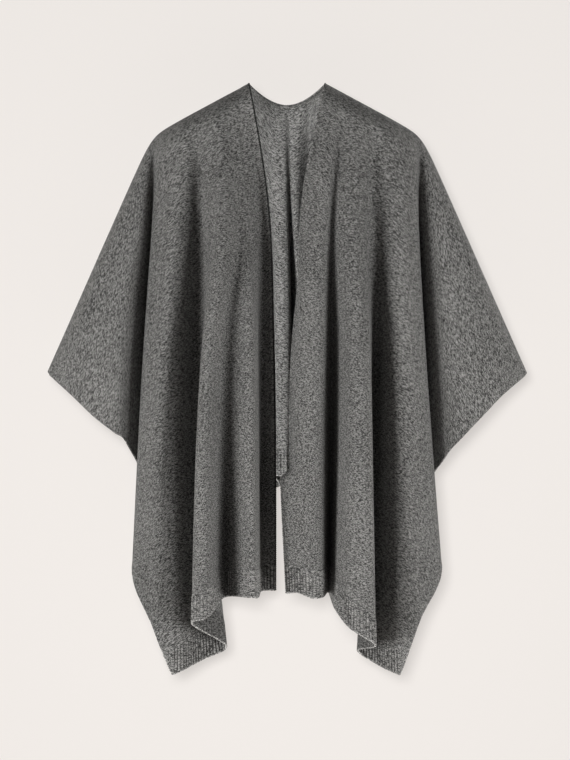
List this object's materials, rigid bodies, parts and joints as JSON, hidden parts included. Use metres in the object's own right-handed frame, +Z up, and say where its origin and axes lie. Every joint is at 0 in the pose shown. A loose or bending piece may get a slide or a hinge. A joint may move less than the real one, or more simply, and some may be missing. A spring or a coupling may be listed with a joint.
{
  "type": "open-front knitted poncho",
  "caption": "Open-front knitted poncho in grey marl, hollow as worn, with draped wing sleeves, an open neck and long fronts with ribbed hems.",
  "frame": {"origin": "midway between the two neck points, on the line of the shoulders, where the wearer's shoulders hold the garment", "axes": "+Z up, the front faces -Y, +X towards the wearer's left"},
  "size_m": [0.7908, 0.2814, 0.9661],
  "materials": {
    "plain_knit": "matt fine-gauge plain knit in grey marl yarn",
    "rib_knit": "matt narrow rib knit in the same grey marl yarn"
  },
  "bodies": {
    "root": {"back_panel": "plain_knit", "back_hem_rib": "rib_knit", "front_right_panel": "plain_knit", "front_right_hem_rib": "rib_knit", "front_left_panel": "plain_knit", "front_left_hem_rib": "rib_knit"}
  },
  "joints": []
}
